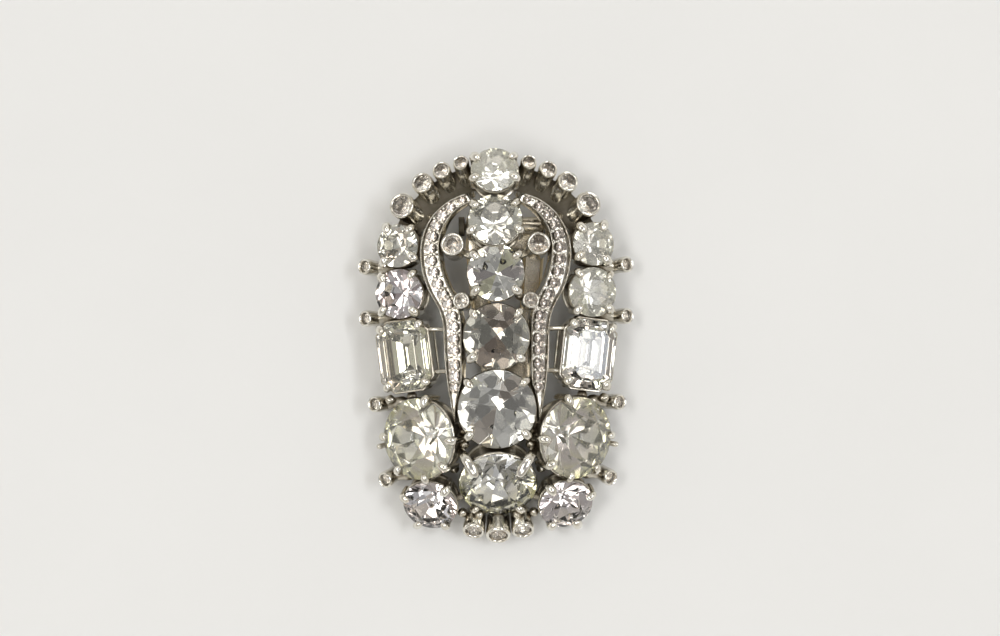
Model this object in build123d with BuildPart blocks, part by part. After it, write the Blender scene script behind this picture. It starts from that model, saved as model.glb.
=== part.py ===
from build123d import *

import math
import os
from collections import namedtuple

# A dress clip lying face up: an openwork frame of soldered metal, domed over a
# column of round stones, with side stones, small stones in tubes, two bands of
# pave and a sprung clip behind. Millimetres, +Z up, +Y towards the arched end.
# The origin is under the middle of the outline, on the surface it lies on.
# Leans are degrees off vertical, and "toward" is the direction, from +X, that a
# stone looks to. Rows with an x are built on the right and mirrored to the left.

clearance = 0.07          # between a stone and the metal that holds it
nub = 0.62                # radius of the blob that ends a claw
nub_height = 0.32         # its centre, above the girdle and outside it
nub_outside = 0.18
claw = 0.46               # radius of a claw's shank
claw_outside = 0.22
claw_rise = 0.3           # how far the shank reaches above the girdle
claw_share = 0.75         # and below it, as a share of the setting's depth
rim_drop = 0.3            # from a stone's girdle down to its setting's edge
rim_inside = 0.35         # that edge, inward and outward of the girdle
rim_outside = 0.3
foot_taper = 0.8          # the setting's foot as a share of the girdle
foot_wall = 0.35          # the foot's metal, inward and outward of that
foot_ring = 0.2           # how far the ring round the foot stands out
foot_height = 0.5

cup_wall = 0.34           # round a small stone, at the mouth of its tube
cup_rim = 0.3             # the mouth's edge, above the girdle
cup_bulge = (-0.7, -1.2)  # where the tube starts to narrow, and has narrowed
cup_waist = 0.92          # its radius there and at the back, as shares
cup_back = 0.86
cup_ledge = -0.1          # where the stone's seat starts

arc_center_y = 11.2       # the arched end is round about this point
plate_inner = 13.4
plate_outer = 17.3
plate_end_y = 13.7        # where the horseshoe's two ends are cut
plate_bottom = 4.2
plate_thick = 1.0
bridge_length = 24.3      # the bar across it, which carries the hinge

band_top = 10.2           # top of the pave bands on the middle line
band_height = 2.8
band_lean = 13            # how far each band's face tips outward
rail = 0.36               # bright rail along each edge of a band
rail_height = 0.3
pave_diameter = 1.5
pave_count = 18
pave_ends = (0.8, 0.75)   # diameter of the last stone at the arch and at the tip
pave_growth = (0.24, 0.16)
pave_seat = 0.4           # a seat's radius as a share of its stone's diameter
pave_seat_depth = 0.8
pave_first = 0.028        # the row's ends, as shares of the middle line
pave_last = 0.852
pave_lift = 0.22          # from the floor between the rails up to the girdles

step_width = 8.4          # the step-cut side stones
step_length = 11.0
step_corner = 1.9
step_turn = 7.3
step_x = 14.55
step_y = -1.65
step_z = 6.9
step_lean = 18
step_depth = 4.4
step_taper = 7            # degrees that its box wall leans in

clip_x = 1.5              # the clip sits a little right of the middle
clip_width = 12.2
clip_tip_width = 7.0
clip_thick = 1.1
clip_leg = 3.1            # width of a leg at the hinge, and where the slot ends
clip_leg_end = 1.7
slot_start = 3.5          # from the hinge down to the slot
shoulder = 4.0            # from the hinge down to where the legs begin to taper
slot_end = 5.0            # from the slot's end to the end of the flat
hinge_y = 18.7
hinge_z = 1.7
hinge_radius = 1.5
hinge_pin = 0.55
hinge_bore = 0.75
bridge = 3.0              # the bar across the horseshoe that carries the ears
ear_thick = 0.9
ear_gap = 0.3
ear_bottom = 0.3
flat_end_y = -8.0
bend_start = 1.0
jaw_y = -14.6
jaw_lip = 1.2             # length of the jaw's flat top
jaw_z = 4.0
tooth_count = 5
tooth_top = 5.2
tooth_root = 0.2          # how far a tooth is sunk in the jaw
tooth_base = 0.6
tooth_tip = 0.2

Stone = namedtuple("Stone", "name diameter x y z lean toward depth claws")
column_stones = [
    Stone("column_stone_1", 7.3, 0, 27.35, 9.0, 22, 90, 4.2, (35, 145, 205, 335)),
    Stone("column_stone_2", 8.4, 0, 19.5, 10.3, 20, 90, 4.2, (38, 142, 208, 332)),
    Stone("column_stone_3", 8.8, 0, 11.25, 10.6, 4, 90, 4.2, (40, 140, 222, 318)),
    Stone("column_stone_4", 10.3, 0, 1.3, 10.6, 0, 90, 4.6, (46, 134, 222, 318)),
    Stone("column_stone_5", 12.2, 0, -10.0, 10.3, 0, 90, 4.8, (43, 137, 222, 318)),
    Stone("column_stone_6", 12.1, 0, -21.95, 7.2, 37, 270, 4.6, (25, 155, 231, 309)),
]
side_stones = [
    Stone("side_stone_1", 6.8, 15.4, 15.65, 6.6, 20, 12, 4.0, (60, 130, 215, 310)),
    Stone("side_stone_2", 7.8, 15.2, 8.1, 6.8, 19, 0, 4.3, (45, 130, 225, 315)),
    Stone("side_stone_4", 12.9, 12.4, -14.7, 7.1, 33, 352, 4.4, (0, 104, 178, 218, 256, 304)),
    Stone("side_stone_5", 8.6, 10.7, -25.25, 5.1, 33, 290, 3.4, (18, 128, 235, 297)),
]

# tubes with a small stone; radius is the tube's, length runs back along its axis
Cup = namedtuple("Cup", "name radius x y z lean toward length")
cups = [
    Cup("arc_cup_stone_1", 2.05, 14.6, 21.95, 6.2, 24, 38, 4.9),
    Cup("arc_cup_stone_2", 1.7, 11.4, 25.45, 6.5, 24, 52, 5.0),
    Cup("arc_cup_stone_3", 1.45, 8.35, 27.4, 6.8, 24, 64, 5.0),
    Cup("arc_cup_stone_4", 1.25, 5.3, 28.5, 7.1, 24, 74, 5.0),
    Cup("inner_cup_stone_1", 1.85, 6.7, 15.7, 9.6, 12, 70, 4.6),
    Cup("inner_cup_stone_2", 1.35, 5.4, 6.9, 10.1, 6, 60, 4.6),
    Cup("edge_cup_stone_1", 1.12, 20.6, 12.45, 3.9, 40, 8, 3.3),
    Cup("edge_cup_stone_2", 1.12, 20.55, 4.3, 3.9, 40, 0, 3.3),
    Cup("edge_cup_stone_3", 1.12, 19.25, -9.25, 4.0, 40, 0, 3.3),
    Cup("edge_cup_stone_4", 1.15, 17.7, -21.2, 3.8, 40, 330, 3.3),
    Cup("base_cup_stone_1", 1.55, 3.9, -29.3, 3.7, 50, 278, 3.6),
    Cup("base_cup_stone_2", 1.7, 0, -30.0, 3.7, 50, 270, 3.6),
]

# soldered struts between settings, by their two ends
Strut = namedtuple("Strut", "start end radius")
struts = [
    Strut((3.3, 18.9, 4.8), (3.3, 18.6, 7.6), 0.8),
    Strut((6.7, 15.0, 6.0), (3.9, 14.0, 7.0), 0.7),
    Strut((6.7, 15.0, 7.0), (9.4, 15.0, 7.7), 0.7),
    Strut((5.4, 6.8, 6.6), (3.6, 7.6, 7.4), 0.7),
    Strut((5.4, 6.8, 7.4), (7.2, 6.8, 8.6), 0.7),
    Strut((7.4, 2.5, 8.4), (10.6, 2.5, 7.2), 0.45),
    Strut((7.4, -4.0, 8.4), (10.2, -4.2, 7.2), 0.45),
    Strut((11.2, 15.4, 4.7), (10.6, 15.4, 7.2), 0.7),
    Strut((10.2, 20.2, 4.7), (9.2, 19.6, 7.4), 0.7),
    Strut((10.6, 9.2, 8.2), (12.6, 9.0, 6.2), 0.6),
    Strut((5.2, -13.6, 7.4), (8.4, -14.6, 7.4), 0.75),
    Strut((19.0, 12.3, 2.2), (16.2, 12.2, 3.6), 0.8),
    Strut((19.0, 4.3, 2.2), (16.4, 4.4, 3.6), 0.8),
    Strut((17.6, -9.2, 2.4), (15.0, -9.0, 4.0), 0.8),
    Strut((16.4, -20.6, 2.2), (14.0, -20.4, 3.2), 0.8),
    Strut((4.4, -23.4, 3.4), (8.2, -24.6, 3.2), 0.8),
    Strut((4.0, -28.0, 2.2), (3.7, -25.1, 3.1), 0.75),
    Strut((0, -28.0, 2.2), (0, -24.8, 2.8), 0.9),
    Strut((16.6, -15.6, 3.6), (18.2, -16.0, 3.2), 0.55),
]

# facets as planes through a point "reach" off the axis and "height" above the
# girdle, as fractions of the diameter; tilt is off the horizontal
Ring = namedtuple("Ring", "count first reach height tilt")
half_girdle = 0.015
room_girdle = 0.045       # how far a stone's room goes straight down before it tapers
brilliant_table = 0.17
brilliant_depth = 0.45
free_height = 2.0         # kept clear of metal over each table
brilliant_rings = [
    Ring(16, 11.25, 0.5, half_girdle, 38.1),
    Ring(8, 0, 0.5, half_girdle, 34),
    Ring(8, 22.5, 0.2494, brilliant_table, 22.3),
    Ring(16, 11.25, 0.5, -half_girdle, -43),
    Ring(8, 0, 0.5, -half_girdle, -41),
]
small_table = 0.16
small_rings = [
    Ring(8, 22.5, 0.5, 0.02, 35),
    Ring(8, 22.5, 0.5, -0.02, -40),
]

# the step cut's tiers: how far in from the edge, how high, and the tilt
Tier = namedtuple("Tier", "inset height tilt")
step_table = 1.5
step_tiers = [
    Tier(0, 0.13, 46),
    Tier(0.8, 0.93, 32),
    Tier(0, -0.13, -56),
    Tier(0.85, -1.39, -45),
    Tier(2.0, -2.54, -33),
]

# a band's edges and middle line in its own plane, as arcs that meet in line: from the
# arched end, round the widest place, back in at the bend, to where it runs straight
Edge = namedtuple("Edge", "start widest bend straight")
band_outer = Edge((4.65, 23.5), (11.95, 14.3), (9.6, 6.9), (7.95, 1.7))
band_inner = Edge((3.9, 22.2), (8.9, 15.2), (6.9, 8.2), (5.25, 2.4))
band_middle = Edge((4.3, 22.8), (10.4, 14.75), (8.25, 7.55), (6.6, 2.1))
band_waist = (5.3, -5.6)
band_flank = (6.2, -8.0)
band_tip = (6.6, -12.3)


def leaning(x, y, z, lean, toward):
    """A plane at a point whose normal leans the given way."""
    tilt = math.radians(lean)
    turn = math.radians(toward)
    normal = (math.sin(tilt) * math.cos(turn), math.sin(tilt) * math.sin(turn), math.cos(tilt))
    return Plane(origin=(x, y, z), x_dir=(1, 0, 0), z_dir=normal)


def facet_plane(reach, height, tilt, azimuth):
    """The plane of one facet, its normal pointing out of the stone."""
    turn = math.radians(azimuth)
    slope = math.radians(abs(tilt))
    up = math.cos(slope) if tilt > 0 else -math.cos(slope)
    out = math.sin(slope)
    return Plane(
        origin=(reach * math.cos(turn), reach * math.sin(turn), height),
        z_dir=(out * math.cos(turn), out * math.sin(turn), up),
    )


def cut_stone(diameter, sides, table, depth, rings):
    """A round stone, cut facet by facet from a prism."""
    with BuildPart() as stone:
        with BuildSketch(Plane.XY.offset(-depth * diameter)):
            RegularPolygon(radius=diameter / 2, side_count=sides, rotation=180 / sides)
        extrude(amount=(depth + table) * diameter)
        for ring in rings:
            for step in range(ring.count):
                azimuth = ring.first + 360 / ring.count * step
                plane = facet_plane(ring.reach * diameter, ring.height * diameter, ring.tilt, azimuth)
                split(bisect_by=plane, keep=Keep.BOTTOM)
    return stone.part


def brilliant(diameter):
    return cut_stone(diameter, 32, brilliant_table, brilliant_depth, brilliant_rings)


def small_cut(diameter, sides=16):
    return cut_stone(diameter, sides, small_table, brilliant_depth, small_rings)


def step_outline(grow):
    """The cut-cornered rectangle, grown all round, inside a sketch."""
    Rectangle(step_width + 2 * grow, step_length + 2 * grow)
    corner = step_corner + 2 * grow * (1 - math.sqrt(0.5))
    chamfer(vertices(), length=corner)


def step_cut():
    """The long stone, cut in tiers that follow its eight sides."""
    half_width = step_width / 2
    half_length = step_length / 2
    corner_reach = (half_width + half_length - step_corner) / math.sqrt(2)
    reaches = [half_width, corner_reach, half_length, corner_reach] * 2
    with BuildPart() as stone:
        with BuildSketch(Plane.XY.offset(-step_length / 2)):
            step_outline(0)
        extrude(amount=step_length / 2 + step_table)
        for tier in step_tiers:
            for side, reach in enumerate(reaches):
                plane = facet_plane(reach - tier.inset, tier.height, tier.tilt, 45 * side)
                split(bisect_by=plane, keep=Keep.BOTTOM)
    return stone.part


def round_setting(diameter, depth, claws):
    """A tapered wall with a base ring and claws, about the stone's own axis."""
    radius = diameter / 2
    foot = foot_taper * radius
    with BuildPart() as setting:
        with BuildSketch(Plane.XZ):
            with BuildLine():
                Polyline(
                    (radius - rim_inside, -rim_drop),
                    (radius + rim_outside, -rim_drop),
                    (foot + foot_wall, foot_height + foot_ring / 2 - depth),
                    (foot + foot_wall + foot_ring, foot_height - depth),
                    (foot + foot_wall + foot_ring, -depth),
                    (foot - foot_wall, -depth),
                    close=True,
                )
            make_face()
        revolve(axis=Axis.Z)
        for angle in claws:
            with Locations(Location((0, 0, 0), (0, 0, angle))):
                with Locations((radius + claw_outside, 0, claw_rise)):
                    Cylinder(
                        radius=claw,
                        height=claw_rise + claw_share * depth,
                        align=(Align.CENTER, Align.CENTER, Align.MAX),
                    )
                with Locations((radius + nub_outside, 0, nub_height)):
                    Sphere(radius=nub)
    return setting.part


def stone_room(diameter):
    """The space a round stone takes, with its clearance, to clear from the metal."""
    radius = diameter / 2
    table_radius = 0.3 * diameter
    with BuildPart() as room:
        with BuildSketch(Plane.XZ):
            with BuildLine():
                Polyline(
                    (0, -brilliant_depth * diameter - clearance),
                    (radius + clearance, -room_girdle * diameter - clearance / 2),
                    (radius + clearance, half_girdle * diameter + clearance),
                    (table_radius, brilliant_table * diameter + clearance),
                    (table_radius, brilliant_table * diameter + free_height),
                    (0, brilliant_table * diameter + free_height),
                    close=True,
                )
            make_face()
        revolve(axis=Axis.Z)
    return room.part


def cup_stone_diameter(radius):
    return 2 * (radius - cup_wall)


def tube_cup(radius, length):
    """A round tube closed behind, its pocket shaped to a small stone."""
    pocket = cup_stone_diameter(radius) / 2 + clearance
    with BuildPart() as cup:
        with BuildSketch(Plane.XZ):
            with BuildLine():
                Polyline(
                    (0, -length),
                    (cup_back * radius, -length),
                    (cup_waist * radius, cup_bulge[1]),
                    (radius, cup_bulge[0]),
                    (radius, cup_rim),
                    (pocket, cup_rim),
                    (pocket, cup_ledge),
                    (0, cup_ledge - 2 * brilliant_depth * pocket),
                    close=True,
                )
            make_face()
        revolve(axis=Axis.Z)
    return cup.part


def step_setting():
    """The long stone's box wall, with a claw at each cut corner."""
    corner_x = step_width - step_corner + 2 * rim_outside
    corner_y = step_length - step_corner + 2 * rim_outside
    with BuildPart() as setting:
        with BuildSketch(Plane.XY.offset(-rim_drop)):
            step_outline(rim_outside)
        extrude(amount=-(step_depth - rim_drop), taper=step_taper)
        with BuildSketch(Plane.XY.offset(-rim_drop)):
            step_outline(-rim_inside)
        extrude(amount=-(step_depth - rim_drop), taper=step_taper, mode=Mode.SUBTRACT)
        with Locations((0, 0, claw_rise)):
            with GridLocations(corner_x, corner_y, 2, 2):
                Cylinder(
                    radius=claw,
                    height=claw_rise + claw_share * step_depth,
                    align=(Align.CENTER, Align.CENTER, Align.MAX),
                )
        with Locations((0, 0, nub_height)):
            with GridLocations(corner_x - nub_outside, corner_y - nub_outside, 2, 2):
                Sphere(radius=nub)
    return setting.part


def strut(row):
    """A round bar with rounded ends between two points."""
    start = Vector(*row.start)
    end = Vector(*row.end)
    with BuildPart() as bar:
        with BuildSketch(Plane(origin=start, z_dir=end - start)):
            Circle(row.radius)
        extrude(amount=(end - start).length)
        with Locations(start, end):
            Sphere(radius=row.radius)
    return bar.part


band_plane = leaning(6, 5, band_top, band_lean, 0)
band_shift = Vector(6, 5)


def in_band(point):
    return Vector(*point) - band_shift


def edge_arcs(edge):
    """The curved stretch of one band edge, inside a line builder."""
    TangentArc(in_band(edge.widest), in_band(edge.start), tangent=(0, 1))
    TangentArc(in_band(edge.widest), in_band(edge.bend), tangent=(0, -1))
    TangentArc(in_band(edge.straight), in_band(edge.bend), tangent=(0, 1))


def band_sketch(grow):
    """The band's face in its own plane, grown or shrunk all round."""
    with BuildSketch(mode=Mode.PRIVATE) as face:
        with BuildLine():
            edge_arcs(band_outer)
            TangentArc(in_band(band_outer.straight), in_band(band_tip), tangent=(0, -1))
            edge_arcs(band_inner)
            Line(in_band(band_inner.straight), in_band(band_waist))
            ThreePointArc(in_band(band_waist), in_band(band_flank), in_band(band_tip))
            Line(in_band(band_outer.start), in_band(band_inner.start))
        make_face()
    if grow:
        return offset(face.sketch, amount=grow, kind=Kind.INTERSECTION, mode=Mode.PRIVATE)
    return face.sketch


def pave_places():
    """Where the pave stones sit, evenly along the middle of the band."""
    with BuildLine(mode=Mode.PRIVATE) as path:
        edge_arcs(band_middle)
        Line(in_band(band_middle.straight), in_band(band_tip))
    middle = path.wire()
    if (middle @ 0).Y < (middle @ 1).Y:
        first, last = 1 - pave_first, 1 - pave_last
    else:
        first, last = pave_first, pave_last
    spots = [middle @ (first + (last - first) * step / (pave_count - 1)) for step in range(pave_count)]
    return [(spot.X, spot.Y) for spot in spots]


def pave_size(step):
    """Stones get smaller towards the band's narrow ends."""
    from_arch = pave_ends[0] + pave_growth[0] * step
    from_tip = pave_ends[1] + pave_growth[1] * (pave_count - 1 - step)
    return min(pave_diameter, from_arch, from_tip)


def pave_band():
    """One band: raised rails round a floor that is drilled for its stones."""
    with BuildPart() as band:
        with BuildSketch():
            add(band_sketch(0))
        extrude(amount=-band_height)
        with BuildSketch():
            add(band_sketch(-rail))
        extrude(amount=-rail_height, mode=Mode.SUBTRACT)
        for step, place in enumerate(pave_places()):
            with Locations((place[0], place[1], -rail_height)):
                Cylinder(
                    radius=pave_seat * pave_size(step),
                    height=2 * pave_seat_depth,
                    mode=Mode.SUBTRACT,
                )
    return band.part


def mirrored(part):
    return mirror(part, about=Plane.YZ)


def seated(part, row):
    """A part moved from its own axis to its row's place on the right."""
    return part.moved(leaning(row.x, row.y, row.z, row.lean, row.toward).location)


def both_sides(part, x):
    """The part by itself if it stands on the middle line, or with its mirror image."""
    return [part, mirrored(part)] if x else [part]


step_place = (
    leaning(step_x, step_y, step_z, step_lean, 0).location * Location((0, 0, 0), (0, 0, -step_turn))
)

# the room that every stone takes, on both sides
rooms = []
for row in column_stones + side_stones:
    rooms += both_sides(seated(stone_room(row.diameter), row), row.x)
for row in cups:
    rooms += both_sides(seated(stone_room(cup_stone_diameter(row.radius)), row), row.x)
step_shape = step_cut()
step_stone = step_shape.moved(step_place)
rooms += both_sides(scale(step_shape, by=1 + 2 * clearance / step_width).moved(step_place), step_x)

# the metal, sorted into what stands on the middle line and what is mirrored
middle_metal = []
side_metal = [step_setting().moved(step_place), pave_band().moved(band_plane.location)]
for row in column_stones + side_stones:
    setting = seated(round_setting(row.diameter, row.depth, row.claws), row)
    (side_metal if row.x else middle_metal).append(setting)
for row in cups:
    cup = seated(tube_cup(row.radius, row.length), row)
    (side_metal if row.x else middle_metal).append(cup)
for row in struts:
    (side_metal if row.start[0] else middle_metal).append(strut(row))

with BuildPart() as horseshoe:
    with BuildSketch(Plane.XY.offset(plate_bottom)):
        with Locations((0, arc_center_y)):
            Circle(plate_outer)
            Circle(plate_inner, mode=Mode.SUBTRACT)
        with Locations((0, plate_end_y)):
            Rectangle(2 * plate_outer, plate_outer, align=(Align.CENTER, Align.MIN), mode=Mode.INTERSECT)
        with Locations((0, hinge_y)):
            Rectangle(bridge_length, bridge)
    extrude(amount=plate_thick)
middle_metal.append(horseshoe.part)

# two ears under the bridge carry the clip's hinge pin
with BuildPart() as ears:
    ear_x = clip_width / 2 + ear_gap + ear_thick / 2
    ear_height = plate_bottom + plate_thick / 2 - ear_bottom
    with Locations((clip_x - ear_x, hinge_y, 0), (clip_x + ear_x, hinge_y, 0)):
        with Locations((0, 0, ear_bottom)):
            Box(ear_thick, bridge, ear_height, align=(Align.CENTER, Align.CENTER, Align.MIN))
        with Locations(Location((0, 0, hinge_z), (0, 90, 0))):
            Cylinder(radius=hinge_bore, height=2 * ear_thick, mode=Mode.SUBTRACT)
middle_metal.append(ears.part)


def meets(a, b):
    """Whether two parts' boxes overlap."""
    one = a.bounding_box()
    two = b.bounding_box()
    return (
        one.min.X < two.max.X and two.min.X < one.max.X
        and one.min.Y < two.max.Y and two.min.Y < one.max.Y
        and one.min.Z < two.max.Z and two.min.Z < one.max.Z
    )


def cleared(part):
    """A metal piece with every stone's room cut out of it."""
    near = [room for room in rooms if meets(part, room)]
    return part - near if near else part


middle_metal = [cleared(piece) for piece in middle_metal]
side_metal = [cleared(piece) for piece in side_metal]

with BuildPart() as side_frame:
    for piece in side_metal:
        add(piece)

with BuildPart() as frame:
    for piece in middle_metal:
        add(piece)
    mirror(side_frame.part, about=Plane.YZ)
    add(side_frame.part)
frame.part.label = "frame"
export_step(frame.part, "parts/frame.step")

# the clip: a hinge barrel, two tapering legs and a bent-up, toothed end
with BuildPart() as clip:
    half = clip_width / 2
    tip_half = clip_tip_width / 2
    with BuildSketch(Plane.XY):
        with BuildLine():
            Polyline(
                (clip_x - half, hinge_y),
                (clip_x - half, hinge_y - shoulder),
                (clip_x - tip_half, flat_end_y),
                (clip_x + tip_half, flat_end_y),
                (clip_x + half, hinge_y - shoulder),
                (clip_x + half, hinge_y),
                close=True,
            )
        make_face()
        with BuildLine():
            Polyline(
                (clip_x - half + clip_leg, hinge_y - slot_start),
                (clip_x - tip_half + clip_leg_end, flat_end_y + slot_end),
                (clip_x + tip_half - clip_leg_end, flat_end_y + slot_end),
                (clip_x + half - clip_leg, hinge_y - slot_start),
                close=True,
            )
        make_face(mode=Mode.SUBTRACT)
    extrude(amount=clip_thick)
    with BuildSketch(Plane.YZ.offset(clip_x - tip_half)):
        with BuildLine():
            Polyline(
                (flat_end_y + bend_start, 0),
                (flat_end_y + bend_start, clip_thick),
                (jaw_y + jaw_lip, jaw_z),
                (jaw_y, jaw_z),
                (jaw_y, jaw_z - clip_thick),
                (flat_end_y, 0),
                close=True,
            )
        make_face()
    extrude(amount=clip_tip_width)
    tooth_width = clip_tip_width / tooth_count
    for step in range(tooth_count):
        tooth_x = clip_x - tip_half + tooth_width * (step + 0.5)
        with Locations((tooth_x, jaw_y + jaw_lip / 2, (jaw_z + tooth_top - tooth_root) / 2)):
            Cone(bottom_radius=tooth_base, top_radius=tooth_tip, height=tooth_top - jaw_z + tooth_root)
    with Locations(Location((clip_x, hinge_y, hinge_z), (0, 90, 0))):
        Cylinder(radius=hinge_radius, height=clip_width)
        Cylinder(radius=hinge_pin, height=clip_width + 2 * ear_gap + 2 * ear_thick)
clip.part.label = "clip"
export_step(clip.part, "parts/clip.step")


def save_stones(part, name, x):
    """Writes a stone, or the right one and its mirror image."""
    names = [name + "_right", name + "_left"] if x else [name]
    for solid, label in zip(both_sides(part, x), names):
        solid.label = label
        export_step(solid, "parts/" + label + ".step")


for row in column_stones + side_stones:
    save_stones(seated(brilliant(row.diameter), row), row.name, row.x)
for row in cups:
    save_stones(seated(small_cut(cup_stone_diameter(row.radius)), row), row.name, row.x)
save_stones(step_stone, "step_stone", step_x)

with BuildPart() as pave:
    for step, (x, y) in enumerate(pave_places()):
        gem = small_cut(pave_size(step), sides=8)
        add(gem.moved(Location((x, y, pave_lift - rail_height))))
save_stones(pave.part.moved(band_plane.location), "pave", band_shift.X)
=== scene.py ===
import math
import random

import bmesh
import bpy
from mathutils import Matrix, Vector, noise


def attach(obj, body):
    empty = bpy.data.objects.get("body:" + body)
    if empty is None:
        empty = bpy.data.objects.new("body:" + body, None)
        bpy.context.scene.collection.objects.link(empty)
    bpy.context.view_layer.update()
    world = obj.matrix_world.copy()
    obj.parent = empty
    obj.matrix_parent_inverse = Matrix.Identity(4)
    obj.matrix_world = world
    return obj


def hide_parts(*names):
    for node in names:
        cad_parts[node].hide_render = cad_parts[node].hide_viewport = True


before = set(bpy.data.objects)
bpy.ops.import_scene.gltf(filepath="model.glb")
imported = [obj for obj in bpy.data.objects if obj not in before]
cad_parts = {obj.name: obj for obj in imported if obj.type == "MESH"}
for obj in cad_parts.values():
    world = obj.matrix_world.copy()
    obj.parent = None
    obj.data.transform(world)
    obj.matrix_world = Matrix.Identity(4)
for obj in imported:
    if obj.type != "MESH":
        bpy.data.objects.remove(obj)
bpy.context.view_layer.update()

mm = 0.001
noise.seed_set(11)                                    # the same lumps each run
print("frame loaded:", len(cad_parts), "nodes")


# shader maths: one wrapped socket, and one way to add any other node

class Wire:
    def __init__(self, kit, socket):
        self.kit = kit
        self.socket = socket

    def calc(self, operation, *terms):
        return self.kit.node("ShaderNodeMath", {"operation": operation}, dict(enumerate(terms)))[0]

    def __add__(self, other):
        return self.calc("ADD", self, other)

    def __radd__(self, other):
        return self.calc("ADD", other, self)

    def __sub__(self, other):
        return self.calc("SUBTRACT", self, other)

    def __rsub__(self, other):
        return self.calc("SUBTRACT", other, self)

    def __mul__(self, other):
        return self.calc("MULTIPLY", self, other)

    def __rmul__(self, other):
        return self.calc("MULTIPLY", other, self)

    def __truediv__(self, other):
        return self.calc("DIVIDE", self, other)

    def __rtruediv__(self, other):
        return self.calc("DIVIDE", other, self)

    def __pow__(self, other):
        return self.calc("POWER", self, other)

    def size(self):
        return self.calc("ABSOLUTE", self)

    def least(self, other):
        return self.calc("MINIMUM", self, other)

    def most(self, other):
        return self.calc("MAXIMUM", self, other)

    def rise(self, start, end):                      # 0 below start, 1 above end, smooth between
        settings = {"interpolation_type": "SMOOTHSTEP"}
        values = {"Value": self, "From Min": start, "From Max": end}
        return self.kit.node("ShaderNodeMapRange", settings, values)["Result"]


class Nodes:
    def __init__(self, tree):
        self.tree = tree
        tree.nodes.clear()

    def node(self, kind, settings=None, values=None):
        made = self.tree.nodes.new(kind)
        for key, value in (settings or {}).items():
            if key == "stops":
                stops = made.color_ramp.elements
                stops.remove(stops[-1])
                stops[0].position = value[0][0]
                stops[0].color = (*value[0][1], 1)
                for place, colour in value[1:]:
                    stops.new(place).color = (*colour, 1)
            else:
                setattr(made, key, value)
        for key, value in (values or {}).items():
            if isinstance(value, Wire):
                self.tree.links.new(value.socket, made.inputs[key])
            else:
                made.inputs[key].default_value = value
        return Outputs(self, made)

    def mix(self, share, first, second, blend="MIX"):
        first = first if isinstance(first, Wire) else (*first, 1)
        second = second if isinstance(second, Wire) else (*second, 1)
        settings = {"data_type": "RGBA", "blend_type": blend}
        return self.node("ShaderNodeMix", settings, {0: share, 6: first, 7: second})[2]

    def noise(self, place, size, detail=3, rough=0.5):         # size of a feature in mm
        values = {"Vector": place, "Scale": 1 / (size * mm), "Detail": detail, "Roughness": rough}
        return self.node("ShaderNodeTexNoise", None, values)["Fac"]

    def bump(self, strength, depth, height):                  # depth in mm
        values = {"Strength": strength, "Distance": depth * mm, "Height": height}
        return self.node("ShaderNodeBump", None, values)["Normal"]

    def close(self, values):                                  # the closing shader and the output
        surface = self.node("ShaderNodeBsdfPrincipled", None, values)["BSDF"]
        self.node("ShaderNodeOutputMaterial", None, {"Surface": surface})


class Outputs:
    def __init__(self, kit, node):
        self.kit = kit
        self.made = node

    def __getitem__(self, key):
        return Wire(self.kit, self.made.outputs[key])


def newMaterial(name):
    material = bpy.data.materials.new(name)
    material.use_nodes = True
    return material, Nodes(material.node_tree)


# metals

metalLook = dict(grimeRange=(0.12, 0.85), patchRange=(0.35, 0.7), speckFrom=0.55, speckRough=0.12,
                 fineScale=0.16)


def agedMetal(name, ownLook):
    look = {**metalLook, **ownLook}
    material, kit = newMaterial(name)
    place = kit.node("ShaderNodeTexCoord")["Object"]
    patches = kit.noise(place, look["patchSize"], 4, 0.6)
    specks = kit.noise(place, look["speckSize"], 5, 0.65)
    reach = {"Distance": look["hollowReach"] * mm}
    hollow = 1 - kit.node("ShaderNodeAmbientOcclusion", {"samples": 6}, reach)["AO"]
    grime = hollow * look["hollowGrime"] + (patches - 0.5) * look["patchGrime"] + look["grime"]
    grime = grime.rise(*look["grimeRange"])
    grime = (grime + (specks - look["speckFrom"]).most(0) * look["speckGrime"]).least(1)
    colour = kit.mix(patches.rise(*look["patchRange"]), look["bright"], look["dull"])
    colour = kit.mix(grime, colour, look["tarnish"])
    roughness = look["polish"] + grime * look["grimeRough"] + (specks - 0.5) * look["speckRough"]
    lumps = kit.noise(place, look["lumpSize"], 2, 0.5)
    fine = kit.noise(place, look["lumpSize"] * look["fineScale"], 3, 0.6)
    normal = kit.bump(look["bump"], look["bumpDepth"], lumps + fine * look["fineShare"])
    kit.close({"Base Color": colour, "Metallic": 1.0, "Roughness": roughness, "Normal": normal})
    return material


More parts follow.
